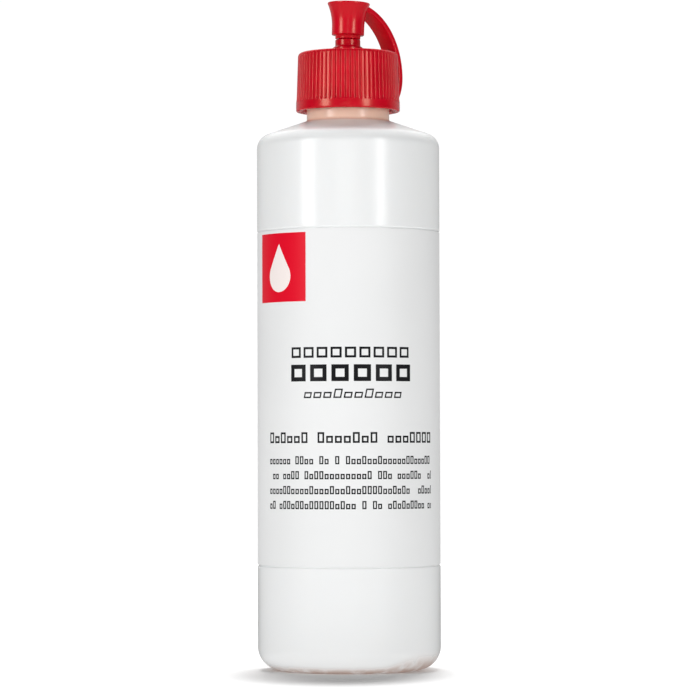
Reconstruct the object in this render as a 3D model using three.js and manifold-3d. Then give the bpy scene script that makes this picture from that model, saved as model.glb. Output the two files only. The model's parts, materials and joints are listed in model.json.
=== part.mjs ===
// Squeeze bottle for glue: a round bottle with a wrap-round label, a ribbed screw cap with a short
// pouring nozzle, and a flared stopper that hangs on a strap from the cap's skirt.
// Millimetres. +Z is up, the origin is the middle of the base, and the label's front faces -Y.

import * as THREE from 'three';
import { mergeGeometries, mergeVertices } from 'three/addons/utils/BufferGeometryUtils.js';
import Module from 'manifold-3d';

const wasm = await Module();
wasm.setup();

const degrees = THREE.MathUtils.degToRad;

// Bottle. Heights are measured from the table.
const BODY_RADIUS = 25;
const WALL = 1.15;
const HEEL_RADIUS = 6.5;
const STANDING_RING_WIDTH = 3;
const BASE_RISE = 2.2;
const BASE_SLOPE_RUN = 3.5;
const SHOULDER_HEIGHT = 142.6;
const SHOULDER_CORNER = 4;
const SHOULDER_SLOPE = degrees(19);
const NECK_RADIUS = 11.3;
const NECK_BORE = 9.6;
const MOUTH_HEIGHT = 166;
const MOUTH_CHAMFER = 0.5;

// Label: a film in a shallow panel round the straight wall, with its two ends meeting at the back.
const LABEL_BOTTOM = 28.9;
const LABEL_TOP = 119.4;
const LABEL_THICKNESS = 0.2;
const LABEL_AIR = 0.07;
const LABEL_END_GAP = degrees(5);
const PANEL_DEPTH = 0.3;
const PANEL_MARGIN = 0.3;

// Screw thread, right-handed, shared by the neck and the cap. Ridges are trapezoids.
const THREAD_PITCH = 3.175;
const THREAD_ROOT_WIDTH = 1.5;
const THREAD_CREST_WIDTH = 0.7;
const THREAD_SINK = 0.35;
const THREAD_RUN_OUT = degrees(35);
const NECK_THREAD_CREST = 12.2;
const NECK_THREAD_START = 159.2;
const NECK_THREAD_TURNS = 1.5;
const CAP_THREAD_CREST = 11.6;
const CAP_THREAD_TURNS = 1.75;
// The cap's ridge runs in the neck's valley, half a pitch behind.
const CAP_THREAD_LAG = THREAD_PITCH / 2;

// Cap. Heights are measured from its bottom edge.
const CAP_BOTTOM = 152.8;
const CAP_BORE = 12.5;
const CAP_LIP_CHAMFER = 0.4;
const CAP_LIP_ROUND = 0.5;
const CAP_BAND_RADIUS = 14.25;
const CAP_BAND_HEIGHT = 2.8;
const CAP_TOP_RADIUS = 13.7;
const CAP_HEIGHT = 15.9;
const CAP_CORNER = 0.8;
const CAP_ROOF = 1.5;
const RIB_COUNT = 64;
const RIB_GROOVE_DEPTH = 0.42;
const RIB_GROOVE_WIDTH = 0.85;

// Nozzle on the cap's roof. Heights are measured from the roof.
const BOSS_RADIUS = 4.15;
const BOSS_HEIGHT = 0.9;
const STUB_RADIUS = 3.45;
const STUB_HEIGHT = 3.9;
const TIP_BASE_RADIUS = 2.4;
const TIP_TOP_RADIUS = 1.5;
const TIP_HEIGHT = 4.5;
const ORIFICE_RADIUS = 0.8;
const ORIFICE_LENGTH = 1.1;
const CHANNEL_RADIUS = 1.9;

// Sealing washer between the mouth and the roof.
const WASHER_RADIUS = 12.2;
const WASHER_HOLE = 3.5;
const WASHER_THICKNESS = 1;
const WASHER_AIR = 0.05;

// Stopper. Heights are measured from its mouth.
const STOPPER_SEAT_GAP = 0.2;
const COLLAR_HEIGHT = 1.05;
const GRIP_RADIUS = 4.45;
const GRIP_CHAMFER = 0.25;
const GRIP_STRAIGHT_HEIGHT = 3.3;
const FLARE_RADIUS = 16;
const FLARE_HEIGHT = 5.8;
const STOPPER_RIM = 0.4;
const SOCKET_AIR = 0.15;
const PIN_RADIUS = 0.5;
const PIN_LENGTH = 0.8;

// Strap. Its middle line is a quarter ellipse above STRAP_BELLY and a round arc below it, in the upright
// plane that stands at STRAP_AZIMUTH round from +X towards +Y.
const STRAP_AZIMUTH = degrees(35);
const STRAP_WIDTH = 5.4;
const STRAP_THICKNESS = 1.5;
const STRAP_BELLY = 162.7;
const STRAP_REACH = 15.7;
const STRAP_RISE = 19.35;
const STRAP_LOWER_RADIUS = 12.3;
const STRAP_FOOT_ANGLE = degrees(-38);
const STRAP_END_ANGLE = degrees(74);
const STRAP_HINGES = [2, 18, 33, 47, 61].map(degrees);
const LINK_GAP = 0.3;
const OUTLINE_STEP = degrees(5);

// Fineness of round shapes.
const BODY_SEGMENTS = 48;
const CAP_SEGMENTS = 64;
const NOZZLE_SEGMENTS = 24;
const THREAD_STEPS_PER_TURN = 24;
const ARC_DIVISIONS = 2;

const MERGE_DISTANCE = 1e-4;
// How far a cut runs on past the surface that it opens.
const CUT_OVERRUN = 1;

const WHITE_PLASTIC = { color: 0xeef0ef, roughness: 0.3, metalness: 0 };
const LABEL_FILM = { color: 0xf1f2f2, roughness: 0.45, metalness: 0 };
const RED_PLASTIC = { color: 0xd2062a, roughness: 0.28, metalness: 0 };
const WASHER_FOAM = { color: 0xe9e6de, roughness: 0.8, metalness: 0 };

// ---------------------------------------------------------------------------------------- helpers

function manifold(vertices, triangles) {
  const mesh = new wasm.Mesh({
    numProp: 3,
    vertProperties: Float32Array.from(vertices),
    triVerts: Uint32Array.from(triangles),
  });
  return new wasm.Manifold(mesh);
}

// Turns a closed geometry into a solid with its faces pointing out.
function solid(geometry) {
  geometry.deleteAttribute('normal');
  geometry.deleteAttribute('uv');
  const merged = mergeVertices(geometry, MERGE_DISTANCE);
  const corners = merged.index.array;
  const triangles = [];
  for (let i = 0; i < corners.length; i += 3) {
    const [a, b, c] = corners.slice(i, i + 3);
    if (a !== b && b !== c && c !== a) {
      triangles.push(a, b, c);
    }
  }
  const vertices = merged.attributes.position.array;
  const made = manifold(vertices, triangles);
  return made.volume() > 0 ? made : manifold(vertices, triangles.reverse());
}

function geometryOf(shape) {
  const { vertProperties, triVerts } = shape.getMesh();
  const geometry = new THREE.BufferGeometry();
  geometry.setAttribute('position', new THREE.BufferAttribute(vertProperties, 3));
  geometry.setIndex(new THREE.BufferAttribute(triVerts, 1));
  geometry.computeVertexNormals();
  return geometry;
}

// Spins an outline of (radius, height) about the Z axis.
function revolved(outline, segments) {
  const geometry = new THREE.LatheGeometry(outline.getPoints(ARC_DIVISIONS), segments);
  geometry.rotateX(Math.PI / 2);
  return solid(geometry);
}

// A ridge of trapezoid section that climbs one pitch a turn and sinks into the wall at both ends.
function helicalRidge(wallRadius, crestRadius, startHeight, turns) {
  const steps = Math.round(turns * THREAD_STEPS_PER_TURN);
  const runOutSteps = THREAD_RUN_OUT / (2 * Math.PI) * THREAD_STEPS_PER_TURN;
  const sunkRadius = wallRadius - Math.sign(crestRadius - wallRadius) * THREAD_SINK;
  const vertices = [];
  const triangles = [];
  for (let i = 0; i <= steps; i += 1) {
    const angle = i / THREAD_STEPS_PER_TURN * 2 * Math.PI;
    const height = startHeight + i / THREAD_STEPS_PER_TURN * THREAD_PITCH;
    const fullness = Math.min(1, i / runOutSteps, (steps - i) / runOutSteps);
    const crest = wallRadius + (crestRadius - wallRadius) * fullness;
    const section = [
      [sunkRadius, -THREAD_ROOT_WIDTH / 2],
      [crest, -THREAD_CREST_WIDTH / 2],
      [crest, THREAD_CREST_WIDTH / 2],
      [sunkRadius, THREAD_ROOT_WIDTH / 2],
    ];
    for (const [radius, rise] of section) {
      vertices.push(radius * Math.cos(angle), radius * Math.sin(angle), height + rise);
    }
    for (let side = 0; side < 4 && i < steps; side += 1) {
      const here = 4 * i + side;
      const next = 4 * i + (side + 1) % 4;
      triangles.push(here, next, here + 4, next, next + 4, here + 4);
    }
  }
  const last = 4 * steps;
  triangles.push(0, 2, 1, 0, 3, 2, last, last + 1, last + 2, last, last + 2, last + 3);
  const made = manifold(vertices, triangles);
  return made.volume() > 0 ? made : manifold(vertices, triangles.reverse());
}

// ----------------------------------------------------------------------------------------- bottle

function bottleOutline() {
  const heelCentre = BODY_RADIUS - HEEL_RADIUS;
  const innerWall = BODY_RADIUS - WALL;
  const cornerCentre = BODY_RADIUS - SHOULDER_CORNER;
  const slopeAngle = Math.PI / 2 - SHOULDER_SLOPE;
  const neckBaseOf = (corner, radius) => {
    const run = cornerCentre + corner * Math.cos(slopeAngle) - radius;
    return SHOULDER_HEIGHT + corner * Math.sin(slopeAngle) + run * Math.tan(SHOULDER_SLOPE);
  };
  const ringInner = heelCentre - STANDING_RING_WIDTH;
  const panelRadius = BODY_RADIUS - PANEL_DEPTH;
  const innerCorner = innerWall - cornerCentre;
  const innerHeel = HEEL_RADIUS - WALL;

  const outline = new THREE.Path();
  outline.moveTo(0, BASE_RISE);
  outline.lineTo(ringInner - BASE_SLOPE_RUN, BASE_RISE);
  outline.lineTo(ringInner, 0);
  outline.absarc(heelCentre, HEEL_RADIUS, HEEL_RADIUS, -Math.PI / 2, 0, false);
  outline.lineTo(BODY_RADIUS, LABEL_BOTTOM - PANEL_MARGIN - PANEL_DEPTH);
  outline.lineTo(panelRadius, LABEL_BOTTOM - PANEL_MARGIN);
  outline.lineTo(panelRadius, LABEL_TOP + PANEL_MARGIN);
  outline.lineTo(BODY_RADIUS, LABEL_TOP + PANEL_MARGIN + PANEL_DEPTH);
  outline.absarc(cornerCentre, SHOULDER_HEIGHT, SHOULDER_CORNER, 0, slopeAngle, false);
  outline.lineTo(NECK_RADIUS, neckBaseOf(SHOULDER_CORNER, NECK_RADIUS));
  outline.lineTo(NECK_RADIUS, MOUTH_HEIGHT - MOUTH_CHAMFER);
  outline.lineTo(NECK_RADIUS - MOUTH_CHAMFER, MOUTH_HEIGHT);
  outline.lineTo(NECK_BORE, MOUTH_HEIGHT);
  outline.lineTo(NECK_BORE, neckBaseOf(innerCorner, NECK_BORE));
  outline.absarc(cornerCentre, SHOULDER_HEIGHT, innerCorner, slopeAngle, 0, true);
  outline.absarc(heelCentre, HEEL_RADIUS, innerHeel, 0, -Math.PI / 2, true);
  outline.lineTo(ringInner, WALL);
  outline.lineTo(ringInner - BASE_SLOPE_RUN, BASE_RISE + WALL);
  outline.lineTo(0, BASE_RISE + WALL);
  return outline;
}

function bottle() {
  const thread = helicalRidge(NECK_RADIUS, NECK_THREAD_CREST, NECK_THREAD_START, NECK_THREAD_TURNS);
  return revolved(bottleOutline(), BODY_SEGMENTS).add(thread);
}

function label() {
  const inner = BODY_RADIUS - PANEL_DEPTH + LABEL_AIR;
  const outer = inner + LABEL_THICKNESS;
  const back = Math.PI / 2;
  const start = back + LABEL_END_GAP / 2;
  const end = back + 2 * Math.PI - LABEL_END_GAP / 2;
  const section = new THREE.Shape();
  section.absarc(0, 0, outer, start, end, false);
  section.absarc(0, 0, inner, end, start, true);
  section.closePath();
  const film = new THREE.ExtrudeGeometry(section, {
    depth: LABEL_TOP - LABEL_BOTTOM,
    bevelEnabled: false,
    curveSegments: BODY_SEGMENTS / 2,
  });
  return solid(film);
}

// ---------------------------------------------------------------------------------------- closure

function washer() {
  const outline = new THREE.Path();
  outline.moveTo(WASHER_HOLE, 0);
  outline.lineTo(WASHER_RADIUS, 0);
  outline.lineTo(WASHER_RADIUS, WASHER_THICKNESS);
  outline.lineTo(WASHER_HOLE, WASHER_THICKNESS);
  outline.closePath();
  return revolved(outline, NOZZLE_SEGMENTS);
}

// The outside of the skirt and roof.
function capOutline() {
  const lipCentre = CAP_BAND_RADIUS - CAP_LIP_ROUND;
  const cornerCentre = CAP_TOP_RADIUS - CAP_CORNER;
  const outline = new THREE.Path();
  outline.moveTo(0, 0);
  outline.lineTo(lipCentre, 0);
  outline.absarc(lipCentre, CAP_LIP_ROUND, CAP_LIP_ROUND, -Math.PI / 2, 0, false);
  outline.lineTo(CAP_BAND_RADIUS, CAP_BAND_HEIGHT);
  outline.absarc(cornerCentre, CAP_HEIGHT - CAP_CORNER, CAP_CORNER, 0, Math.PI / 2, false);
  outline.lineTo(0, CAP_HEIGHT);
  return outline;
}

// The boss, stub and tip on the roof. They start inside the roof, so that they join it.
function nozzleOutline() {
  const stubTop = CAP_HEIGHT + STUB_HEIGHT;
  const bossTop = CAP_HEIGHT + BOSS_HEIGHT;
  const outline = new THREE.Path();
  outline.moveTo(0, CAP_HEIGHT - CAP_ROOF / 2);
  outline.lineTo(BOSS_RADIUS, CAP_HEIGHT - CAP_ROOF / 2);
  outline.lineTo(BOSS_RADIUS, bossTop);
  outline.lineTo(STUB_RADIUS, bossTop + BOSS_RADIUS - STUB_RADIUS);
  outline.lineTo(STUB_RADIUS, stubTop);
  outline.lineTo(TIP_BASE_RADIUS, stubTop);
  outline.lineTo(TIP_TOP_RADIUS, stubTop + TIP_HEIGHT);
  outline.lineTo(0, stubTop + TIP_HEIGHT);
  return outline;
}

// The hollow that takes the neck. It runs out past the bottom edge.
function boreOutline() {
  const outline = new THREE.Path();
  outline.moveTo(0, -CAP_LIP_CHAMFER);
  outline.lineTo(CAP_BORE + 2 * CAP_LIP_CHAMFER, -CAP_LIP_CHAMFER);
  outline.lineTo(CAP_BORE, CAP_LIP_CHAMFER);
  outline.lineTo(CAP_BORE, CAP_HEIGHT - CAP_ROOF);
  outline.lineTo(0, CAP_HEIGHT - CAP_ROOF);
  return outline;
}

// The pouring channel, from under the roof to past the tip.
function channelOutline() {
  const tipTop = CAP_HEIGHT + STUB_HEIGHT + TIP_HEIGHT;
  const outline = new THREE.Path();
  outline.moveTo(0, CAP_HEIGHT - 2 * CAP_ROOF);
  outline.lineTo(CHANNEL_RADIUS, CAP_HEIGHT - 2 * CAP_ROOF);
  outline.lineTo(CHANNEL_RADIUS, CAP_HEIGHT);
  outline.lineTo(ORIFICE_RADIUS, tipTop - ORIFICE_LENGTH);
  outline.lineTo(ORIFICE_RADIUS, tipTop + CUT_OVERRUN);
  outline.lineTo(0, tipTop + CUT_OVERRUN);
  return outline;
}

// Upright V grooves between the ribs, leaning with the skirt's taper. The cutter reaches as far outside
// the skirt as inside it, and is twice as wide out there as the groove is at the surface.
function ribGrooves() {
  const length = CAP_HEIGHT - CAP_BAND_HEIGHT;
  const lean = Math.atan2(CAP_BAND_RADIUS - CAP_TOP_RADIUS, length - CAP_CORNER);
  const cutter = { depth: length + CUT_OVERRUN, bevelEnabled: false };
  const section = new THREE.Shape();
  section.moveTo(-RIB_GROOVE_DEPTH, 0);
  section.lineTo(RIB_GROOVE_DEPTH, -RIB_GROOVE_WIDTH);
  section.lineTo(RIB_GROOVE_DEPTH, RIB_GROOVE_WIDTH);
  section.closePath();
  const grooves = [];
  for (let i = 0; i < RIB_COUNT; i += 1) {
    const groove = new THREE.ExtrudeGeometry(section, cutter);
    groove.rotateY(-lean);
    groove.translate(CAP_BAND_RADIUS, 0, CAP_BAND_HEIGHT);
    groove.rotateZ((i + 0.5) / RIB_COUNT * 2 * Math.PI);
    grooves.push(groove);
  }
  return solid(mergeGeometries(grooves));
}

function screwCap() {
  const threadStart = NECK_THREAD_START - CAP_THREAD_LAG - CAP_BOTTOM;
  const thread = helicalRidge(CAP_BORE, CAP_THREAD_CREST, threadStart, CAP_THREAD_TURNS);
  const foot = strapStretch(STRAP_FOOT_ANGLE, STRAP_HINGES[0]).translate([0, 0, -CAP_BOTTOM]);
  return revolved(capOutline(), CAP_SEGMENTS)
    .subtract(ribGrooves())
    .add(revolved(nozzleOutline(), NOZZLE_SEGMENTS))
    .add(foot)
    .subtract(revolved(boreOutline(), BODY_SEGMENTS))
    .subtract(revolved(channelOutline(), NOZZLE_SEGMENTS))
    .add(thread);
}

function stopper() {
  const flareCentre = GRIP_RADIUS + FLARE_RADIUS;
  const flareEnd = Math.PI - Math.asin(FLARE_HEIGHT / FLARE_RADIUS);
  const rimRadius = flareCentre + FLARE_RADIUS * Math.cos(flareEnd);
  const top = GRIP_STRAIGHT_HEIGHT + FLARE_HEIGHT + STOPPER_RIM;
  const socketTop = TIP_HEIGHT + 2 * SOCKET_AIR;

  const outline = new THREE.Path();
  outline.moveTo(TIP_BASE_RADIUS + SOCKET_AIR, 0);
  outline.lineTo(STUB_RADIUS, 0);
  outline.lineTo(STUB_RADIUS, COLLAR_HEIGHT);
  outline.lineTo(GRIP_RADIUS - GRIP_CHAMFER, COLLAR_HEIGHT);
  outline.lineTo(GRIP_RADIUS, COLLAR_HEIGHT + GRIP_CHAMFER);
  outline.absarc(flareCentre, GRIP_STRAIGHT_HEIGHT, FLARE_RADIUS, Math.PI, flareEnd, true);
  outline.lineTo(rimRadius, top);
  outline.lineTo(0, top);
  outline.lineTo(0, socketTop - PIN_LENGTH);
  outline.lineTo(PIN_RADIUS, socketTop - PIN_LENGTH);
  outline.lineTo(PIN_RADIUS, socketTop);
  outline.lineTo(TIP_TOP_RADIUS + SOCKET_AIR, socketTop);
  outline.closePath();
  const arm = strapStretch(STRAP_HINGES.at(-1), STRAP_END_ANGLE).translate([0, 0, -STOPPER_MOUTH]);
  return revolved(outline, NOZZLE_SEGMENTS).add(arm);
}

// ------------------------------------------------------------------------------------------ strap

// The strap's middle line and outward direction at an angle: 0 is the belly, above it is the ellipse.
function strapAt(angle) {
  if (angle < 0) {
    const outward = new THREE.Vector2(Math.cos(angle), Math.sin(angle));
    const centre = new THREE.Vector2(STRAP_REACH - STRAP_LOWER_RADIUS, STRAP_BELLY);
    return { point: centre.addScaledVector(outward, STRAP_LOWER_RADIUS), outward };
  }
  const point = new THREE.Vector2(
    STRAP_REACH * Math.cos(angle),
    STRAP_BELLY + STRAP_RISE * Math.sin(angle),
  );
  const outward = new THREE.Vector2(STRAP_RISE * Math.cos(angle), STRAP_REACH * Math.sin(angle));
  return { point, outward: outward.normalize() };
}

// One stretch of the strap. An end that meets a hinge stops half a link gap short of it. The gap is turned
// into an angle with the ellipse's mean radius.
function strapStretch(from, to) {
  const meanRadius = Math.hypot(STRAP_REACH, STRAP_RISE) / Math.SQRT2;
  const halfGap = LINK_GAP / 2 / meanRadius;
  const start = from > STRAP_FOOT_ANGLE ? from + halfGap : from;
  const end = to < STRAP_END_ANGLE ? to - halfGap : to;
  const steps = Math.max(2, Math.ceil((end - start) / OUTLINE_STEP));
  const angles = Array.from({ length: steps + 1 }, (_, i) => start + (end - start) * i / steps);
  const stations = angles.map(strapAt);
  const half = STRAP_THICKNESS / 2;
  const outerSide = stations.map(({ point, outward }) => point.clone().addScaledVector(outward, half));
  const innerSide = stations.map(({ point, outward }) => point.clone().addScaledVector(outward, -half));
  const outline = new THREE.Shape([...outerSide, ...innerSide.reverse()]);
  const stretch = new THREE.ExtrudeGeometry(outline, { depth: STRAP_WIDTH, bevelEnabled: false });
  stretch.translate(0, 0, -STRAP_WIDTH / 2);
  stretch.rotateX(Math.PI / 2);
  stretch.rotateZ(STRAP_AZIMUTH);
  return solid(stretch);
}

// --------------------------------------------------------------------------------------- assembly

const ROOF_HEIGHT = CAP_BOTTOM + CAP_HEIGHT;
const WASHER_BOTTOM = ROOF_HEIGHT - CAP_ROOF - WASHER_AIR - WASHER_THICKNESS;
const STOPPER_MOUTH = ROOF_HEIGHT + STUB_HEIGHT + STOPPER_SEAT_GAP;

function piece(name, shape, finish, height = 0) {
  const mesh = new THREE.Mesh(geometryOf(shape), new THREE.MeshStandardMaterial(finish));
  mesh.name = name;
  mesh.position.z = height;
  return mesh;
}

const closure = new THREE.Group();
closure.add(piece('screw_cap', screwCap(), RED_PLASTIC, CAP_BOTTOM));
closure.add(piece('sealing_washer', washer(), WASHER_FOAM, WASHER_BOTTOM));
for (let i = 1; i < STRAP_HINGES.length; i += 1) {
  const link = strapStretch(STRAP_HINGES[i - 1], STRAP_HINGES[i]);
  closure.add(piece(`strap_link_${i}`, link, RED_PLASTIC));
}
closure.add(piece('stopper', stopper(), RED_PLASTIC, STOPPER_MOUTH));

const glueBottle = new THREE.Group();
glueBottle.add(piece('bottle', bottle(), WHITE_PLASTIC));
glueBottle.add(piece('label', label(), LABEL_FILM, LABEL_BOTTOM));
glueBottle.add(closure);

export default glueBottle;
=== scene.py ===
import json
import math

import bmesh
import bpy
from mathutils import Matrix, Vector


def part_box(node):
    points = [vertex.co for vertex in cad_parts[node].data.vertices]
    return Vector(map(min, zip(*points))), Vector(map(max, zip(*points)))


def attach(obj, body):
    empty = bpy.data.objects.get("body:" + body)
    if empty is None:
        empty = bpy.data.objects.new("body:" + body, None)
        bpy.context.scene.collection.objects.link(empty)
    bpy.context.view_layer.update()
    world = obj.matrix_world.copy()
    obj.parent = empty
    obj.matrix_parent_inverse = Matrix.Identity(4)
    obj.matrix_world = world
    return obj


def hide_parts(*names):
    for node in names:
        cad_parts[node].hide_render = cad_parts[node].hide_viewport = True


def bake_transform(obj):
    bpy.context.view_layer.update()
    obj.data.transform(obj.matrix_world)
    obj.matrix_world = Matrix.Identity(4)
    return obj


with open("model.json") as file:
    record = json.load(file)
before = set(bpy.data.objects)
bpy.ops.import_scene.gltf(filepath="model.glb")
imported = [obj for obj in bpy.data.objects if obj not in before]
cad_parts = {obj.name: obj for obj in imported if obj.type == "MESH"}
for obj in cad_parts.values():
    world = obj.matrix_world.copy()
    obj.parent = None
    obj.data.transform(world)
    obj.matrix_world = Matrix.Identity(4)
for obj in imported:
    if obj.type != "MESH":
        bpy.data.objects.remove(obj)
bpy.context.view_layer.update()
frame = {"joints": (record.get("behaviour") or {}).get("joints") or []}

# Lengths below are in millimetres, and heights are above the table. Blender's are metres.
MM = 0.001
JOIN_DISTANCE = 0.002 * MM
SAME_RADIUS = 1e-6


def box_mm(node):
    low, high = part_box(node)
    return low / MM, high / MM


BOTTLE_HIGH = box_mm("bottle")[1]
LABEL_LOW, LABEL_HIGH = box_mm("label")
CAP_LOW = box_mm("screw_cap")[0]
WASHER_LOW, WASHER_HIGH = box_mm("sealing_washer")
STOPPER_LOW, STOPPER_HIGH = box_mm("stopper")
HINGES = {joint["name"]: joint for joint in frame["joints"]}

# ------------------------------------------------------------------------------- modelling helpers


def deselect_all():
    bpy.ops.object.select_all(action="DESELECT")


def open_piece(name):
    """Names the primitive that was just added, settles its place into its mesh, and opens it."""
    piece = bpy.context.object
    piece.name = piece.data.name = name
    bpy.ops.object.transform_apply(location=True, rotation=True, scale=True)
    bpy.ops.object.mode_set(mode="EDIT")
    bpy.ops.mesh.select_mode(type="VERT")
    bpy.ops.mesh.select_all(action="SELECT")
    return piece


def close_piece(piece, sharp_from=40):
    """Joins doubled points, turns the faces outwards, and smooths all but the sharp edges."""
    bpy.ops.mesh.select_all(action="SELECT")
    bpy.ops.mesh.remove_doubles(threshold=JOIN_DISTANCE)
    bpy.ops.mesh.normals_make_consistent(inside=False)
    bpy.ops.object.mode_set(mode="OBJECT")
    bpy.ops.object.shade_smooth_by_angle(angle=math.radians(sharp_from))
    return piece


def pick(piece, wanted):
    """Selects the points of an open piece whose place passes a test, given in millimetres."""
    mesh = bmesh.from_edit_mesh(piece.data)
    for point in mesh.verts:
        point.select_set(bool(wanted(point.co / MM)))
    mesh.select_flush_mode()
    bmesh.update_edit_mesh(piece.data, loop_triangles=False, destructive=False)


def arc(centre_radius, centre_height, radius, start, end, steps):
    """Points of an outline along an arc, from one angle in degrees to another."""
    points = []
    for step in range(steps + 1):
        angle = math.radians(start + (end - start) * step / steps)
        place = (centre_radius + radius * math.cos(angle), centre_height + radius * math.sin(angle))
        points.append(place)
    return points


def straight(start, end, steps):
    """Points of an outline along a line, with its end but without its start."""
    (r0, z0), (r1, z1) = start, end
    return [(r0 + (r1 - r0) * i / steps, z0 + (z1 - z0) * i / steps) for i in range(1, steps + 1)]


def raised(outline, height):
    return [(r, z + height) for r, z in outline]


def turned(name, outline, segments, ring=False):
    """Opens a round piece: a circle is added at the outline's first radius and height, then extruded
    and scaled from point to point. A ring's outline ends where it starts, and any other closes in
    two poles."""
    deselect_all()
    radius, height = outline[0]
    bpy.ops.mesh.primitive_circle_add(
        vertices=segments, radius=radius * MM, location=(0, 0, height * MM), fill_type="NOTHING"
    )
    piece = open_piece(name)
    if not ring:
        bpy.ops.mesh.extrude_edges_move()
        bpy.ops.mesh.merge(type="CENTER")
        bpy.ops.mesh.select_non_manifold(extend=False)
    for (r0, z0), (r1, z1) in zip(outline, outline[1:]):
        bpy.ops.mesh.extrude_edges_move(TRANSFORM_OT_translate={"value": (0, 0, (z1 - z0) * MM)})
        if abs(r1 - r0) > SAME_RADIUS:
            bpy.ops.transform.resize(value=(r1 / r0, r1 / r0, 1), center_override=(0, 0, z1 * MM))
    if not ring:
        bpy.ops.mesh.extrude_edges_move()
        bpy.ops.mesh.merge(type="CENTER")
    return piece


def turn_selected(angle, axis, centre):
    """Turns what is selected by an angle in radians, by the right-hand rule about X, Y or Z."""
    bpy.ops.transform.rotate(value=-angle, orient_axis=axis, center_override=centre)


def helical_ridge(name, wall, crest, start_height, turns):
    """A screw thread: a trapezoid is extruded and turned step by step, and sinks into its wall at both
    ends."""
    outward = 1 if crest > wall else -1
    sunk = wall - outward * THREAD_SINK
    steps = round(turns * THREAD_STEPS_PER_TURN)
    run_out = THREAD_RUN_OUT / 360 * THREAD_STEPS_PER_TURN
    deselect_all()
    bpy.ops.mesh.primitive_plane_add(
        size=1, location=((sunk + crest) / 2 * MM, 0, start_height * MM), rotation=(math.pi / 2, 0, 0)
    )
    bpy.context.object.scale = (abs(crest - sunk) * MM, THREAD_ROOT * MM, 1)
    piece = open_piece(name)
    pick(piece, lambda point: abs(point.x - crest) < abs(point.x - sunk))
    tip = (crest * MM, 0, start_height * MM)
    bpy.ops.transform.resize(value=(1, 1, THREAD_CREST / THREAD_ROOT), center_override=tip)
    bpy.ops.mesh.bevel(offset=THREAD_ROUND * MM, segments=2, affect="VERTICES")
    bpy.ops.mesh.select_all(action="SELECT")

    def fullness(step):
        return max(THREAD_END_FULLNESS, min(1, step / run_out, (steps - step) / run_out))

    def swell(step, share):
        angle = 2 * math.pi * step / THREAD_STEPS_PER_TURN
        height = start_height + THREAD_PITCH * step / THREAD_STEPS_PER_TURN
        foot = (sunk * math.cos(angle) * MM, sunk * math.sin(angle) * MM, height * MM)
        bpy.ops.transform.resize(value=(share, share, 1), center_override=foot)

    swell(0, fullness(0))
    for step in range(1, steps + 1):
        rise = THREAD_PITCH / THREAD_STEPS_PER_TURN * MM
        bpy.ops.mesh.extrude_region_move(TRANSFORM_OT_translate={"value": (0, 0, rise)})
        turn_selected(2 * math.pi / THREAD_STEPS_PER_TURN, "Z", (0, 0, 0))
        swell(step, fullness(step) / fullness(step - 1))
    return close_piece(piece)


def settle(piece, body, slot, material, *nodes):
    """Gives a finished piece its material and its body, and hides the CAD nodes that it stands for."""
    piece.data.materials.clear()
    piece.data.materials.append(material)
    if nodes:
        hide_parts(*nodes)
    if body:
        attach(piece, body)


# --------------------------------------------------------------------------------- material helpers


class Wire:
    """A socket that takes part in Python arithmetic: each operator adds its Math node."""

    def __init__(self, recipe, socket):
        self.recipe = recipe
        self.socket = socket

    def __add__(self, other):
        return self.recipe.math("ADD", self, other)

    def __radd__(self, other):
        return self.recipe.math("ADD", other, self)

    def __sub__(self, other):
        return self.recipe.math("SUBTRACT", self, other)

    def __rsub__(self, other):
        return self.recipe.math("SUBTRACT", other, self)

    def __mul__(self, other):
        return self.recipe.math("MULTIPLY", self, other)

    def __rmul__(self, other):
        return self.recipe.math("MULTIPLY", other, self)

    def __truediv__(self, other):
        return self.recipe.math("DIVIDE", self, other)

    def __gt__(self, other):
        return self.recipe.math("GREATER_THAN", self, other)

    def __lt__(self, other):
        return self.recipe.math("LESS_THAN", self, other)


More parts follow.
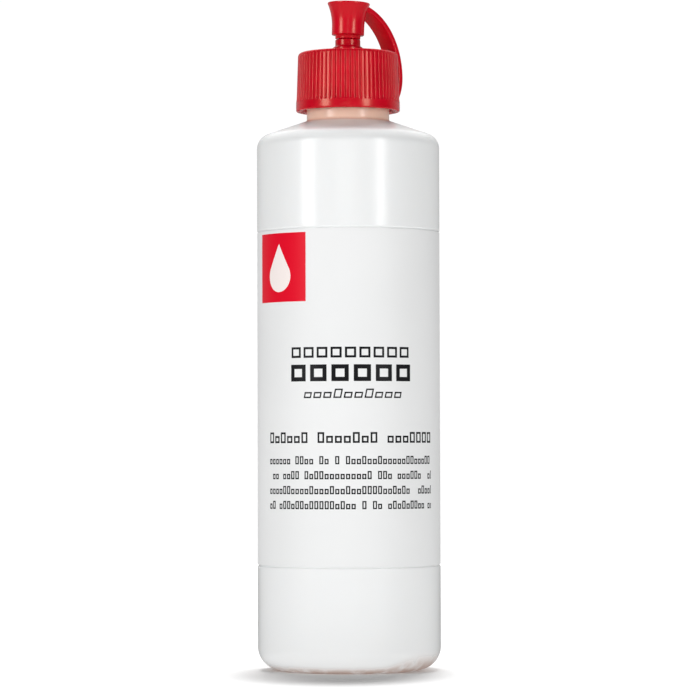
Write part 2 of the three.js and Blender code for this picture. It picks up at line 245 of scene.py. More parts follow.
class Recipe:
    """A node tree in the making, of a material or of the studio's surroundings."""

    def __init__(self, owner):
        owner.use_nodes = True
        self.owner = owner
        self.tree = owner.node_tree
        self.tree.nodes.clear()

    def node(self, kind, settings=None, sockets=None, output=0):
        """Any node: its settings are set first, then its sockets' values or links."""
        made = self.tree.nodes.new("ShaderNode" + kind)
        for key, setting in (settings or {}).items():
            setattr(made, key, setting)
        for key, value in (sockets or {}).items():
            if isinstance(value, Wire):
                self.tree.links.new(value.socket, made.inputs[key])
            else:
                made.inputs[key].default_value = value
        return Wire(self, made.outputs[output]) if made.outputs else made

    def math(self, operation, *values):
        return self.node("Math", {"operation": operation}, dict(enumerate(values)))

    def mix(self, share, first, second):
        """A colour between two colours."""
        return self.node("Mix", {"data_type": "RGBA"}, {0: share, 6: first, 7: second}, output=2)

    def noise(self, scale, detail=2.0, stretch=(1, 1, 1)):
        """Soft noise from 0 to 1 on the piece's own coordinates, with a scale in waves a metre."""
        place = self.node("TexCoord", output="Object")
        place = self.node("Mapping", {}, {"Vector": place, "Scale": stretch})
        return self.node("TexNoise", {}, {"Vector": place, "Scale": scale, "Detail": detail})

    def clamp(self, value, low=0.0, high=1.0):
        return self.node("Clamp", {}, {"Value": value, "Min": low, "Max": high})

    def ramp(self, value, low, high):
        """0 below low, 1 above high, and smooth between them."""
        settings = {"interpolation_type": "SMOOTHSTEP"}
        return self.node("MapRange", settings, {"Value": value, "From Min": low, "From Max": high})

    def bump(self, height, depth_mm, normal=None):
        """A relief whose height of 1 stands for a depth in millimetres."""
        sockets = {"Height": height, "Distance": depth_mm * MM, "Strength": 1.0}
        if normal:
            sockets["Normal"] = normal
        return self.node("Bump", {}, sockets)

    def plastic(self, **sockets):
        names = {key.replace("_", " "): value for key, value in sockets.items()}
        return self.node("BsdfPrincipled", {}, names)

    def surface(self, shader):
        self.node("OutputMaterial", {}, {"Surface": shader})
        return self.owner


def material_recipe(name):
    return Recipe(bpy.data.materials.new(name))


# ---------------------------------------------------------------------------------------- materials

RED = (0.66, 0.0012, 0.0185, 1)
DEEP_RED = (0.58, 0.0008, 0.014, 1)
WHITE = (0.875, 0.882, 0.878, 1)
MILKY = (0.862, 0.868, 0.866, 1)
HEEL_SHADE_TAN = (0.45, 0.30, 0.24, 1)
NECK_GLOW_TINT = (0.96, 0.64, 0.48, 1)
FOAM_CELL = (0.80, 0.775, 0.71, 1)
FOAM_PALE = (0.88, 0.86, 0.80, 1)
PAPER = (0.80, 0.806, 0.806, 1)
PAPER_PALE = (0.825, 0.83, 0.83, 1)
PRINTED_RED = (0.76, 0.0012, 0.019, 1)
PRINTED_DROP = (0.93, 0.84, 0.81, 1)
INK = (0.010, 0.010, 0.012, 1)

# The printed square and its drop, measured along the label from its front, and up.
SQUARE_SIDES = (-30.4, -11.9)
SQUARE_ENDS = (99.9, 118.5)
DROP_MIDDLE = -21.15
DROP_BALL_HEIGHT = 106.9
DROP_BALL_RADIUS = 4.3
DROP_TIP = 115.6
DROP_TAPER = 0.566
DROP_CONE_FOOT = 109.0

# A row of writing: the share of a letter that stays blank at each side, and a low letter's height.
LETTER_MARGIN = 0.11
LOW_LETTER = 0.66


def white_plastic():
    """Glossy blow-moulded polyethylene: milky and faintly wavy. Near where it stands it has a painted
    warm reflection of the floor's shadow and is rougher there, and the neck has a painted glow of the
    cap's red light."""
    make = material_recipe("white_plastic")
    place = make.node("TexCoord", output="Object")
    height = make.node("SeparateXYZ", {}, {"Vector": place}, output="Z") / MM
    cloud = make.noise(22, 3)
    tint = make.mix(make.ramp(cloud, 0.35, 0.7), MILKY, WHITE)
    streaks = make.noise(260, 4, (1, 1, 0.35))
    beside = make.node("SeparateXYZ", {}, {"Vector": place}, output="X") / MM
    # Painted shade: a warm tan reflection of the floor's shadow on the heel. It is darker towards the
    # bottom, reaches higher on the right, is broken up by the streaks, and the heel is rougher there.
    shade_reach = 2.6 + 4.2 * make.ramp(beside, 8, 20)
    low = 1 - make.ramp(height / shade_reach, 0.1, 1.1)
    heel_shade = low * low * make.ramp(streaks, 0.1, 0.6)
    tint = make.mix(heel_shade * 0.85, tint, HEEL_SHADE_TAN)
    # Painted glow: a peach tint for the cap's red light bounced onto the neck, fading out higher up the
    # neck.
    cap_glow = make.ramp(height, 149.3, 150.2) * (0.9 - 0.55 * make.ramp(height, 153, 156))
    tint = make.mix(cap_glow, tint, NECK_GLOW_TINT)
    roughness = 0.19 + 0.05 * streaks + 0.3 * heel_shade
    relief = make.bump(make.noise(28, 1.5, (1, 1, 0.3)), 0.07)
    relief = make.bump(make.noise(900, 2), 0.006, relief)
    return make.surface(make.plastic(
        Base_Color=tint, Roughness=roughness, Normal=relief, IOR=1.5, Subsurface_Weight=0.1,
        Subsurface_Radius=(1.0, 0.85, 0.75), Subsurface_Scale=0.004,
    ))


def red_plastic():
    """Red injection-moulded polyethylene: deep colour, a soft gloss and a faint grain."""
    make = material_recipe("red_plastic")
    cloud = make.noise(190, 4)
    flow = make.noise(60, 2, (1, 1, 3))
    tint = make.mix(make.ramp(flow, 0.3, 0.75), DEEP_RED, RED)
    roughness = 0.18 + 0.08 * cloud
    relief = make.bump(make.noise(350, 2), 0.012)
    relief = make.bump(make.noise(2600, 2), 0.0018, relief)
    return make.surface(make.plastic(
        Base_Color=tint, Roughness=roughness, Normal=relief, IOR=1.62, Specular_Tint=(1, 0.85, 0.62, 1),
    ))


def washer_foam():
    """Soft foamed liner: matt, with fine closed cells."""
    make = material_recipe("washer_foam")
    place = make.node("TexCoord", output="Object")
    cells = make.node("TexVoronoi", {}, {"Vector": place, "Scale": 2400})
    tint = make.mix(cells, FOAM_CELL, FOAM_PALE)
    return make.surface(make.plastic(
        Base_Color=tint, Roughness=0.75 + 0.2 * cells, Normal=make.bump(cells, 0.03),
    ))


def label_film():
    """Satin film, printed with a red square that holds a white drop, and rows of small boxes that stand
    for writing."""
    make = material_recipe("label_film")
    place = make.node("TexCoord", output="Object")
    x, y, z = (make.node("SeparateXYZ", {}, {"Vector": place}, output=axis) for axis in "XYZ")
    across = make.math("ARCTAN2", x, 0 - y) * LABEL_RADIUS
    up = z / MM

    def within(value, low, high):
        return (value > low) * (value < high)

    def writing(
        left, right, bottom, size, letter, stroke,
        rows=1, leading=1.0, tall=1.0, gaps=0.0, lean=0.0,
    ):
        """Rows of open boxes as large as letters, with random gaps for the spaces between words."""
        line = (up - bottom) / leading
        row = make.math("FLOOR", line)
        rise = (line - row) * leading / size
        along = (across - left - lean * rise) / letter
        column = make.math("FLOOR", along)
        aside = along - column
        cell = make.node("CombineXYZ", {}, {"X": column + left, "Y": row + bottom})
        chance = make.node("TexWhiteNoise", {"noise_dimensions": "2D"}, {"Vector": cell})
        top = LOW_LETTER + (1 - LOW_LETTER) * (chance < tall)
        thin, flat = stroke / letter, stroke / size
        edge = LETTER_MARGIN + thin
        whole = within(aside, LETTER_MARGIN, 1 - LETTER_MARGIN) * (rise > 0) * (rise < top)
        middle = within(aside, edge, 1 - edge) * (rise > flat) * (rise < top - flat)
        block = within(across - lean * rise, left, right) * within(line, 0, rows)
        return block * whole * (1 - middle) * (chance < 1 - gaps)

    black = writing(-16.9, 17.9, 84.7, 2.9, 3.87, 0.6, leading=3.2)
    black = black + writing(-17.3, 18.7, 78.4, 4.5, 6.0, 1.15, leading=5.0)
    black = black + writing(-12.9, 15.1, 73.9, 2.5, 2.8, 0.4, leading=3.4, tall=0.4, gaps=0.03, lean=0.5)
    black = black + writing(-25.6, 27.2, 61.9, 2.9, 2.4, 0.5, leading=3.4, tall=0.3, gaps=0.08)
    black = black + writing(-25.6, 27.2, 44.2, 2.2, 1.45, 0.36, rows=4, leading=4.0, tall=0.3, gaps=0.14)
    black = black + writing(54.0, 77.0, 56.0, 1.7, 1.15, 0.24, rows=14, leading=3.1, tall=0.3, gaps=0.14)
    black = black + writing(-77.0, -54.0, 74.0, 1.7, 1.15, 0.24, rows=8, leading=3.1, tall=0.3, gaps=0.14)

    square = within(across, *SQUARE_SIDES) * within(up, *SQUARE_ENDS)
    aside = make.math("ABSOLUTE", across - DROP_MIDDLE)
    above = up - DROP_BALL_HEIGHT
    ball = (aside * aside + above * above) < DROP_BALL_RADIUS * DROP_BALL_RADIUS
    cone = (aside < (DROP_TIP - up) * DROP_TAPER) * (up > DROP_CONE_FOOT)
    drop = make.math("MAXIMUM", ball, cone)
    red = square * (1 - drop)

    paper = make.mix(make.ramp(make.noise(30, 3), 0.3, 0.7), PAPER, PAPER_PALE)
    tint = make.mix(square * drop, paper, PRINTED_DROP)
    tint = make.mix(red, tint, PRINTED_RED)
    tint = make.mix(make.clamp(black), tint, INK)
    roughness = 0.42 + 0.08 * make.noise(140, 3) - 0.1 * make.clamp(black + red)
    relief = make.bump(make.noise(24, 1.5, (1, 1, 0.25)), 0.1)
    relief = make.bump(make.noise(1500, 2), 0.003, relief)
    return make.surface(make.plastic(
        Base_Color=tint, Roughness=roughness, Normal=relief, IOR=1.45, Specular_IOR_Level=0.2,
    ))


# ------------------------------------------------------------------------------------------- bottle

BODY_RADIUS = BOTTLE_HIGH.x
MOUTH = BOTTLE_HIGH.z
WALL = 1.15
HEEL = 6.5
BASE_RISE = 2.2
SHOULDER = 142.6
SHOULDER_CORNER = 4.0
SHOULDER_SLOPE = 19.0
NECK_RADIUS = 11.3
NECK_BORE = 9.6
NECK_FILLET = 0.8
PANEL_RADIUS = BODY_RADIUS - 0.3
LABEL_RADIUS = LABEL_HIGH.x
LABEL_BOTTOM = LABEL_LOW.z
LABEL_TOP = LABEL_HIGH.z
BOTTLE_SEGMENTS = 160

THREAD_PITCH = 3.175
THREAD_ROOT = 1.5
THREAD_CREST = 0.7
THREAD_ROUND = 0.16
THREAD_SINK = 0.35
THREAD_RUN_OUT = 35
THREAD_END_FULLNESS = 0.12
THREAD_STEPS_PER_TURN = 48
NECK_THREAD_START = 159.2
NECK_THREAD_CREST = 12.2
NECK_THREAD_TURNS = 1.5
CAP_THREAD_CREST = 11.6
CAP_THREAD_TURNS = 1.75
WELD_SIZE = (19, 0.7, 0.5)
WELD_ROUND = 0.2
LABEL_SEGMENTS = 240
ROUND_SEGMENTS = 96


def shoulder_line(corner):
    """The shoulder's rounded corner, which ends where its slope starts."""
    centre = BODY_RADIUS - SHOULDER_CORNER
    return arc(centre, SHOULDER, corner, 0, 90 - SHOULDER_SLOPE, 12)


def neck_root(corner, radius, fillet):
    """The fillet between the shoulder's slope and the upright neck."""
    slope = math.radians(SHOULDER_SLOPE)
    r0, z0 = shoulder_line(corner)[-1]
    meeting = z0 + (r0 - radius) * math.tan(slope)
    reach = fillet * math.tan(math.radians(90 - SHOULDER_SLOPE) / 2)
    return arc(radius + fillet, meeting + reach, fillet, 270 - SHOULDER_SLOPE, 180, 8)


def bottle_outline():
    heel_centre = BODY_RADIUS - HEEL
    ring_inner = heel_centre - 3
    outside = [(1, BASE_RISE), (5, BASE_RISE - 0.05), (9, BASE_RISE - 0.1), (11.2, BASE_RISE - 0.15)]
    outside += [(12.2, 1.95), (12.8, 1.65), (14.6, 0.55), (15.1, 0.25)]
    outside += [(ring_inner + 0.3, 0.06), (16.3, 0)]
    outside += arc(heel_centre, HEEL, HEEL, -90, 0, 16)
    outside += straight((BODY_RADIUS, HEEL), (BODY_RADIUS, LABEL_BOTTOM - 1), 4)
    outside += [(BODY_RADIUS, LABEL_BOTTOM - 0.85), (BODY_RADIUS, LABEL_BOTTOM - 0.75)]
    outside += [(BODY_RADIUS - 0.03, LABEL_BOTTOM - 0.6), (BODY_RADIUS - 0.1, LABEL_BOTTOM - 0.5)]
    outside += [(PANEL_RADIUS + 0.03, LABEL_BOTTOM - 0.36), (PANEL_RADIUS, LABEL_BOTTOM - 0.25)]
    outside += [(PANEL_RADIUS, LABEL_BOTTOM - 0.1)]
    outside += straight((PANEL_RADIUS, LABEL_BOTTOM - 0.1), (PANEL_RADIUS, LABEL_TOP + 0.1), 10)
    outside += [(PANEL_RADIUS, LABEL_TOP + 0.2)]
    outside += [(PANEL_RADIUS + 0.03, LABEL_TOP + 0.3), (BODY_RADIUS - 0.1, LABEL_TOP + 0.45)]
    outside += [(BODY_RADIUS - 0.03, LABEL_TOP + 0.55), (BODY_RADIUS, LABEL_TOP + 0.75)]
    outside += [(BODY_RADIUS, LABEL_TOP + 0.85), (BODY_RADIUS, LABEL_TOP + 1)]
    outside += straight((BODY_RADIUS, LABEL_TOP + 1), (BODY_RADIUS, SHOULDER - 0.6), 3)
    outside += shoulder_line(SHOULDER_CORNER)
    root = neck_root(SHOULDER_CORNER, NECK_RADIUS, NECK_FILLET)
    outside += straight(outside[-1], root[0], 5) + root[1:]
    outside += straight(root[-1], (NECK_RADIUS, MOUTH - 0.5), 6)
    outside += arc(NECK_RADIUS - 0.5, MOUTH - 0.5, 0.5, 0, 90, 5)[1:]
    outside += arc(NECK_BORE + 0.3, MOUTH - 0.3, 0.3, 90, 180, 4)
    inner_corner = SHOULDER_CORNER - WALL
    inner_root = neck_root(inner_corner, NECK_BORE, NECK_FILLET + WALL)
    inside = inner_root[::-1]
    inside += shoulder_line(inner_corner)[::-1]
    inside += straight((BODY_RADIUS - WALL, SHOULDER), (BODY_RADIUS - WALL, HEEL), 8)
    inside += arc(heel_centre, HEEL, HEEL - WALL, 0, -90, 10)[1:]
    inside += [(15.6, WALL), (14.6, WALL + 0.55), (12.8, 1.65 + WALL), (11.2, BASE_RISE - 0.1 + WALL)]
    inside += [(6, BASE_RISE + WALL), (1, BASE_RISE + WALL)]
    return outside + inside


def make_bottle(material):
    body = turned("bottle_body", bottle_outline(), BOTTLE_SEGMENTS)
    close_piece(body)
    settle(body, "bottle", "bottle_plastic", material, "bottle")

    thread = helical_ridge(
        "neck_thread", NECK_RADIUS, NECK_THREAD_CREST, NECK_THREAD_START, NECK_THREAD_TURNS
    )
    settle(thread, "bottle", "bottle_plastic", material)

    # The weld that the mould pinches shut across the base.
    deselect_all()
    bpy.ops.mesh.primitive_cube_add(size=1, location=(0, 0, (BASE_RISE - 0.1) * MM))
    bpy.context.object.scale = [size * MM for size in WELD_SIZE]
    weld = open_piece("base_weld")
    bpy.ops.mesh.bevel(offset=WELD_ROUND * MM, segments=3, affect="EDGES")
    close_piece(weld)
    settle(weld, "bottle", "bottle_plastic", material)


def make_label(material):
    inner = PANEL_RADIUS + 0.02
    outline = [(inner, LABEL_BOTTOM), (LABEL_RADIUS - 0.03, LABEL_BOTTOM)]
    outline += [(LABEL_RADIUS, LABEL_BOTTOM + 0.04), (LABEL_RADIUS, LABEL_BOTTOM + 0.08)]
    outline += [(LABEL_RADIUS, LABEL_BOTTOM + 0.16)]
    outline += straight(outline[-1], (LABEL_RADIUS, LABEL_TOP - 0.16), 16)
    outline += [(LABEL_RADIUS, LABEL_TOP - 0.08), (LABEL_RADIUS, LABEL_TOP - 0.04)]
    outline += [(LABEL_RADIUS - 0.03, LABEL_TOP), (inner, LABEL_TOP)]
    outline += straight(outline[-1], outline[0], 8)
    film = turned("label_film", outline, LABEL_SEGMENTS, ring=True)
    # One end of the film laps over the other at the back, and tapers off under it.
    for share, start, end in ((1.0032, 90.2, 91.8), (1.0022, 91.9, 93.3), (1.0012, 93.4, 96)):

        def in_lap(point):
            return point.y > 0 and start < math.degrees(math.atan2(point.y, point.x)) < end

        pick(film, in_lap)
        bpy.ops.transform.resize(value=(share, share, 1), center_override=(0, 0, 0))
    close_piece(film)
    settle(film, "bottle", "label_film", material, "label")


# -------------------------------------------------------------------------------------------- cap

CAP_BOTTOM = CAP_LOW.z
CAP_BAND_RADIUS = 14.25
CAP_TOP_RADIUS = 13.7
BAND_STEP = 0.12
CAP_HEIGHT = 16.2
CAP_CORNER = 1.1
CAP_BORE = 12.5
CAP_ROOF = 1.5
BAND_HEIGHT = 2.45
RIBS = 64
RIB_STEPS = 12
RIB_DEPTH = 0.46
LEAST_DEPTH = 0.004
CHANNEL = 1.9
STUB_RISE = 3.6
TIP_RISE = 8.1


def skirt_radius(height):
    """The radius of the ribs' crests at a height above the cap's bottom edge."""
    top = CAP_HEIGHT - CAP_CORNER
    share = max(0, height - BAND_HEIGHT) / (top - BAND_HEIGHT)
    taper = CAP_TOP_RADIUS - CAP_BAND_RADIUS + BAND_STEP
    return CAP_BAND_RADIUS - BAND_STEP * min(1, share * 12) + taper * share


def cap_outline():
    under = CAP_HEIGHT - CAP_ROOF
    outline = [(CHANNEL, under), (6, under), (10.5, under)]
    outline += arc(CAP_BORE - 0.8, under - 0.8, 0.8, 90, 0, 5)
    outline += straight(outline[-1], (CAP_BORE, 0.9), 3)
    outline += [(CAP_BORE + 0.12, 0.45), (CAP_BORE + 0.4, 0.1), (CAP_BORE + 0.7, 0)]
    outline += arc(CAP_BAND_RADIUS - 0.4, 0.4, 0.4, -90, 0, 5)
    outline += [(CAP_BAND_RADIUS, 1.2), (CAP_BAND_RADIUS, 2.0), (CAP_BAND_RADIUS - 0.03, 2.2)]
    heights = [2.34, 2.45, 2.58, 2.72, 2.9, 3.1, 3.35, 5, 7.5, 10, 12.5, 14.0, CAP_HEIGHT - CAP_CORNER]
    outline += [(skirt_radius(height), height) for height in heights]
    outline += arc(CAP_TOP_RADIUS - CAP_CORNER, CAP_HEIGHT - CAP_CORNER, CAP_CORNER, 0, 90, 6)[1:]
    outline += [(11.8, CAP_HEIGHT), (8, CAP_HEIGHT), (5, CAP_HEIGHT)]
    outline += [(CHANNEL, CAP_HEIGHT), (CHANNEL, under)]
    return raised(outline, CAP_BOTTOM)


def press_in_grooves(cap):
    """Presses the narrow grooves between the ribs into the skirt. They end round above the smooth band
    and run out over the cap's rounded corner."""
    top = CAP_HEIGHT - CAP_CORNER
    stretches = [((3.3, top + 0.02), 1.0), ((3.0, 3.2), 0.97), ((2.8, 3.0), 0.87), ((2.65, 2.8), 0.7)]
    stretches += [((2.5, 2.65), 0.5), ((2.4, 2.5), 0.25)]
    for angle, share in ((15, 0.9), (30, 0.75), (45, 0.55), (60, 0.3)):
        height = top + CAP_CORNER * math.sin(math.radians(angle))
        stretches.append(((height - 0.03, height + 0.03), share))
    pitch = 360 / RIBS
    column = pitch / RIB_STEPS
    for step in range(1, RIB_STEPS // 2 + 1):
        aside = step / (RIB_STEPS / 2)
        depth = RIB_DEPTH * (1 - math.sqrt(1 - aside ** 4))
        for (low, high), share in stretches:
            if depth * share < LEAST_DEPTH:
                continue

            def in_column(point):
                if not low < point.z - CAP_BOTTOM < high:
                    return False
                if math.hypot(point.x, point.y) < CAP_BORE + 0.3:
                    return False
                angle = math.degrees(math.atan2(point.y, point.x)) % pitch
                return abs(min(angle, pitch - angle) - step * column) < column / 3

            pick(cap, in_column)
            radius = skirt_radius(min((low + high) / 2, top))
            inwards = (radius - depth * share) / radius
            bpy.ops.transform.resize(value=(inwards, inwards, 1), center_override=(0, 0, 0))


def nozzle_outline():
    """The boss, the stub and the pouring tip, with the channel through them."""
    roof = CAP_HEIGHT
    stub = roof + STUB_RISE
    tip = roof + TIP_RISE
    outline = [(CHANNEL, roof - 1), (4.3, roof - 1), (4.3, roof - 0.02)]
    outline += [(4.22, roof + 0.05), (4.15, roof + 0.16)]
    outline += arc(3.95, roof + 1.3, 0.2, 0, 45, 3) + [(3.62, roof + 1.75)]
    outline += [(3.5, roof + 1.9), (3.45, roof + 2.05), (3.45, roof + 2.7)]
    outline += arc(3.27, stub - 0.18, 0.18, 0, 90, 4)
    outline += [(2.65, stub), (2.48, stub + 0.06), (2.4, stub + 0.2)]
    outline += straight(outline[-1], (1.62, tip - 0.3), 6)
    outline += arc(1.35, tip - 0.22, 0.22, 0, 90, 4) + arc(1.0, tip - 0.15, 0.15, 90, 180, 3)
    outline += [(0.8, tip - 0.3), (0.8, tip - 1.1), (CHANNEL, roof), (CHANNEL, roof - 1)]
    return raised(outline, CAP_BOTTOM)


def make_cap(material):
    skirt = turned("cap_skirt", cap_outline(), RIBS * RIB_STEPS, ring=True)
    press_in_grooves(skirt)
    close_piece(skirt, 50)
    settle(skirt, "cap", "red_plastic", material, "screw_cap")

    nozzle = turned("cap_nozzle", nozzle_outline(), ROUND_SEGMENTS, ring=True)
    close_piece(nozzle)
    settle(nozzle, "cap", "red_plastic", material)

    start = NECK_THREAD_START - THREAD_PITCH / 2
    thread = helical_ridge("cap_thread", CAP_BORE, CAP_THREAD_CREST, start, CAP_THREAD_TURNS)
    settle(thread, "cap", "red_plastic", material)


def make_washer(material):
    outline = arc(3.7, WASHER_LOW.z + 0.2, 0.2, 180, 270, 3)
    outline += arc(12.0, WASHER_LOW.z + 0.2, 0.2, -90, 0, 3)
    outline += arc(12.0, WASHER_HIGH.z - 0.2, 0.2, 0, 90, 3)
    outline += arc(3.7, WASHER_HIGH.z - 0.2, 0.2, 90, 180, 3) + [outline[0]]
    washer = turned("sealing_liner", outline, ROUND_SEGMENTS, ring=True)
    close_piece(washer)
    settle(washer, "seal", "washer_foam", material, "sealing_washer")


# ------------------------------------------------------------------------------- strap and stopper

STOPPER_MOUTH = STOPPER_LOW.z
STOPPER_TILT = 1.8
GRIP_RADIUS = 4.45
SOCKET_DEPTH = 4.8
FLARE_RADIUS = 15.6
RIM_RISE = 0.5
STRAP_FOOT_X, STRAP_FOOT_Y = HINGES["strap_bend_1"]["pos_m"][:2]
STRAP_AZIMUTH = math.degrees(math.atan2(STRAP_FOOT_Y, STRAP_FOOT_X))
STRAP_WIDTH = 6.4
STRAP_THICKNESS = 1.5
STRAP_ROUND = 0.42
STRAP_BELLY = 162.7
STRAP_REACH = 15.7
STRAP_RISE = 19.35
STRAP_LOWER_RADIUS = 12.3
STRAP_STEP = 1.0
# Angles along the strap's middle line: its hinges, the ends of its stretches, and how far a bend reaches.
STRAP_HINGES = (2, 18, 33, 47, 61)
STRAP_ENDS = (-38, 10, 25.5, 40, 54, 74)
BEND_REACH = 7.5


def stopper_outline():
    """The hollow that fits the tip, with its pin, then the collar, the grip, the flare and the dished
    top."""
    socket = SOCKET_DEPTH
    outline = [(0.15, socket - 0.8), (0.38, socket - 0.8), (0.5, socket - 0.66)]
    outline += [(0.5, socket - 0.1), (0.6, socket)]
    outline += [(1.5, socket), (1.65, socket - 0.15)] + straight((1.65, socket - 0.15), (2.55, 0.3), 5)
    outline += [(2.62, 0.1), (2.8, 0), (3.25, 0)] + arc(3.27, 0.18, 0.18, -90, 0, 4)[1:]
    outline += [(3.45, 0.9), (3.52, 1.0), (3.65, 1.05), (4.2, 1.05)]
    outline += arc(GRIP_RADIUS - 0.25, 1.3, 0.25, -90, 0, 4)[1:] + [(GRIP_RADIUS, 2.2)]
    centre = GRIP_RADIUS + FLARE_RADIUS
    top = STOPPER_HIGH.z - STOPPER_MOUTH + RIM_RISE
    end = 180 - math.degrees(math.asin((top - 3.75) / FLARE_RADIUS))
    outline += arc(centre, 3.3, FLARE_RADIUS, 180, end, 12)
    rim = outline[-1][0]
    outline += [(rim + 0.05, top - 0.34)] + arc(rim - 0.18, top - 0.22, 0.22, 10, 90, 4)
    outline += [(rim - 0.5, top), (rim - 0.62, top - 0.06)]
    outline += [(rim - 0.75, top - 0.3), (rim - 0.95, top - 0.5)]
    outline += [(3.4, top - 0.6), (2, top - 0.66), (0.3, top - 0.68)]
    return raised(outline, STOPPER_MOUTH)


def make_stopper(material):
    stopper = turned("stopper_grip", stopper_outline(), ROUND_SEGMENTS)
    bpy.ops.mesh.select_all(action="SELECT")
    turn_selected(math.radians(STOPPER_TILT), "Y", (0, 0, STOPPER_MOUTH * MM))
    close_piece(stopper)
    settle(stopper, "stopper", "red_plastic", material, "stopper")


def strap_place(angle):
    """Distance from the axis and height of the strap's middle line, and the way its outside faces. It is
    a round arc below the belly, at angle 0, and part of an ellipse above it."""
    turn = math.radians(angle)
    if angle < 0:
        reach = STRAP_REACH - STRAP_LOWER_RADIUS + STRAP_LOWER_RADIUS * math.cos(turn)
        return (reach, STRAP_BELLY + STRAP_LOWER_RADIUS * math.sin(turn)), turn
    place = (STRAP_REACH * math.cos(turn), STRAP_BELLY + STRAP_RISE * math.sin(turn))
    return place, math.atan2(STRAP_REACH * math.sin(turn), STRAP_RISE * math.cos(turn))


def strap_point(angle):
    """A point of the strap's middle line in metres, in the row frame."""
    (reach, height), _ = strap_place(angle)
    azimuth = math.radians(STRAP_AZIMUTH)
    return Vector((reach * math.cos(azimuth), reach * math.sin(azimuth), height)) * MM


def strap_stretch(name, start, end):
    """One stretch of strap: a rounded section is extruded and turned along the middle line. It is made
    above the X axis and then swung round to the strap's own side."""
    steps = math.ceil((end - start) / STRAP_STEP)
    stations = [start + (end - start) * i / steps for i in range(steps + 1)]
    (reach, height), facing = strap_place(start)
    deselect_all()
    bpy.ops.mesh.primitive_plane_add(
        size=1, location=(reach * MM, 0, height * MM), rotation=(0, -facing, 0)
    )
    bpy.context.object.scale = (STRAP_THICKNESS * MM, STRAP_WIDTH * MM, 1)
    piece = open_piece(name)
    bpy.ops.mesh.bevel(offset=STRAP_ROUND * MM, segments=5, affect="VERTICES")
    bpy.ops.mesh.select_all(action="SELECT")
    for angle in stations[1:]:
        (next_reach, next_height), next_facing = strap_place(angle)
        move = ((next_reach - reach) * MM, 0, (next_height - height) * MM)
        bpy.ops.mesh.extrude_region_move(TRANSFORM_OT_translate={"value": move})
        turn_selected(facing - next_facing, "Y", (next_reach * MM, 0, next_height * MM))
        reach, height, facing = next_reach, next_height, next_facing
    bpy.ops.mesh.select_all(action="SELECT")
    turn_selected(math.radians(STRAP_AZIMUTH), "Z", (0, 0, 0))
    return close_piece(piece, 50)


def make_strap(material):
    """The strap is one moulding with the cap and the stopper. Each stretch runs past one hinge, from
    about the middle of one link to about the middle of the next. The first four stand for a link each,
    and the last one ends in the stopper."""
    links = ["strap_link_1", "strap_link_2", "strap_link_3", "strap_link_4"]
    for index, hinge in enumerate(STRAP_HINGES):
        start, end = STRAP_ENDS[index], STRAP_ENDS[index + 1]
        stretch = strap_stretch(f"strap_stretch_{index + 1}", start, end)
        settle(stretch, None, "red_plastic", material, *links[index:index + 1])
        near = hinge - min(hinge - start, BEND_REACH)
        far = hinge + min(end - hinge, BEND_REACH)
        strap_point(near)
        strap_point(far)
        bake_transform(stretch)


# ------------------------------------------------------------------------------- studio and camera

# The floor takes a shadow within the first distance of its middle, and none beyond the second.
SHADOW_MIDDLE = (-0.004, -0.016, 0)
SHADOW_STRETCH = (1.7, 1, 1)
SHADOW_FADE = (32, 66)
FLOOR_RADIUS = 0.9
FLOOR_PAPER = (0.76, 0.748, 0.745, 1)
FLOOR_GLOW = 1.15
FLOOR_GLOW_MIRRORED = 0.1
PURE_WHITE = (1, 1, 1, 1)
WHITE_BACKDROP = 1.02


def make_floor():
    """Paper that takes the bottle's shadow round its foot, and turns to plain white further away. To
    mirroring surfaces the white part is dim."""
    deselect_all()
    bpy.ops.mesh.primitive_circle_add(vertices=ROUND_SEGMENTS, radius=FLOOR_RADIUS, fill_type="NGON")
    floor = open_piece("floor")
    bpy.ops.object.mode_set(mode="OBJECT")
    make = material_recipe("pale_floor")
    place = make.node("TexCoord", output="Object")
    place = make.node("VectorMath", {"operation": "MULTIPLY"}, {0: place, 1: SHADOW_STRETCH})
    ends = {0: place, 1: SHADOW_MIDDLE}
    away = make.node("VectorMath", {"operation": "DISTANCE"}, ends, output="Value") / MM
    paper = make.node("BsdfDiffuse", {}, {"Color": FLOOR_PAPER})
    bright = make.node("Emission", {}, {"Color": PURE_WHITE, "Strength": FLOOR_GLOW})
    dim = make.node("Emission", {}, {"Color": PURE_WHITE, "Strength": FLOOR_GLOW_MIRRORED})
    mirrored = make.node("LightPath", output="Is Glossy Ray")
    white = make.node("MixShader", {}, {0: mirrored, 1: bright, 2: dim})
    faded = make.ramp(away, *SHADOW_FADE)
    unseen = 1 - make.node("LightPath", output="Is Camera Ray")
    share = faded + (1 - faded) * unseen * 0.5
    both = make.node("MixShader", {}, {0: share, 1: paper, 2: white})
    floor.data.materials.append(make.surface(both))


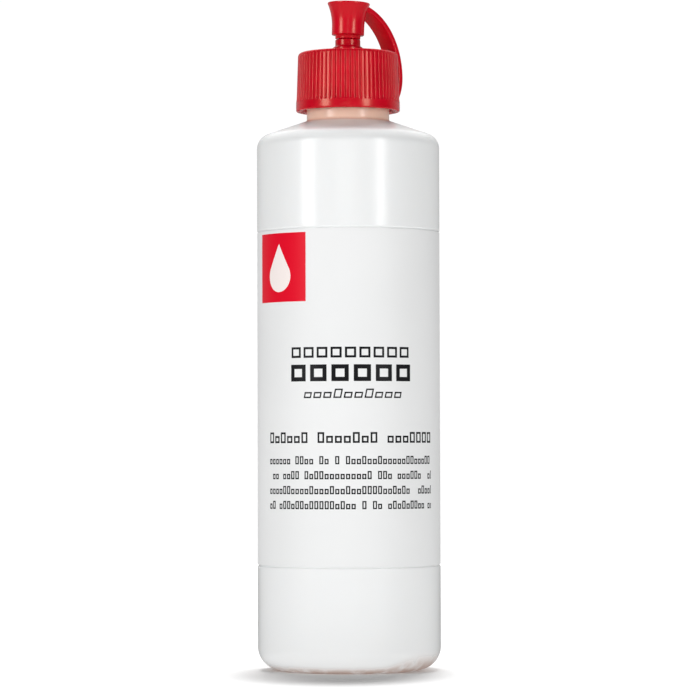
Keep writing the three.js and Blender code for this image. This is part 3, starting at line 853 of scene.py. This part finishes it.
def make_surroundings():
    """White to the camera. As light it is brightest from the front, a little to the left, and as a
    reflection it is dark in front, brighter behind, and brightest high up behind."""
    world = bpy.data.worlds.new("studio")
    bpy.context.scene.world = world
    make = Recipe(world)
    seen = make.node("TexCoord", output="Generated")
    x, y, z = (make.node("SeparateXYZ", {}, {"Vector": seen}, output=axis) for axis in "XYZ")
    front_left = make.clamp(0 - 0.2 * x - 0.98 * y)
    light = 0.08 + 0.12 * front_left
    mirrored = 0.01 + 0.4 * make.ramp(y + 0.35 * make.clamp(z), 0.1, 0.75)
    mirrored = mirrored + 0.8 * make.ramp(z, 0.35, 0.6) * make.ramp(y, 0.5, 0.8)
    camera_ray = make.node("LightPath", output="Is Camera Ray")
    glossy_ray = make.node("LightPath", output="Is Glossy Ray")
    strength = light + glossy_ray * (mirrored - light)
    strength = strength + camera_ray * (WHITE_BACKDROP - strength)
    glow = make.node("Background", {}, {"Color": PURE_WHITE, "Strength": strength})
    make.node("OutputWorld", {}, {"Surface": glow})


def add_softbox(name, place, target, size, power, mirrored=True):
    light = bpy.data.lights.new(name, "AREA")
    light.shape = "RECTANGLE"
    light.size, light.size_y = size
    light.energy = power
    softbox = bpy.data.objects.new(name, light)
    bpy.context.collection.objects.link(softbox)
    aim = Vector(target) - Vector(place)
    softbox.matrix_world = Matrix.Translation(place) @ aim.to_track_quat("-Z", "Y").to_matrix().to_4x4()
    softbox.visible_camera = False
    softbox.visible_glossy = mirrored


def around(azimuth, distance, height):
    """A place on the camera's side: azimuth 0 is towards the camera, and it grows to the right."""
    angle = math.radians(azimuth)
    return (distance * math.sin(angle), -distance * math.cos(angle), height)


def make_lights():
    cap_level = (0, 0, 0.16)
    add_softbox("left_softbox", around(-51, 0.9, 0.36), cap_level, (0.28, 0.56), 2.7)
    add_softbox("right_strip", around(41, 0.9, 0.36), cap_level, (0.22, 0.56), 2.1)
    add_softbox("front_fill", (-0.05, -1.3, 0.2), (0, 0, 0.08), (0.5, 0.3), 3.2, mirrored=False)
    add_softbox("top_softbox", (0, 0.29, 0.8), (0, -0.01, 0), (0.38, 0.24), 7.2, mirrored=False)


def make_camera():
    data = bpy.data.cameras.new("camera")
    data.sensor_width = 36
    data.lens = 180
    camera = bpy.data.objects.new("camera", data)
    bpy.context.collection.objects.link(camera)
    camera.location = (0.0003, -0.959, 0.060)
    camera.rotation_euler = (math.radians(91.637), math.radians(0.16), 0)
    bpy.context.scene.camera = camera


bpy.context.scene.view_settings.view_transform = "Standard"
make_camera()
make_surroundings()
make_lights()
make_floor()

white = white_plastic()
red = red_plastic()
make_bottle(white)
make_label(label_film())
make_cap(red)
make_washer(washer_foam())
make_stopper(red)
make_strap(red)
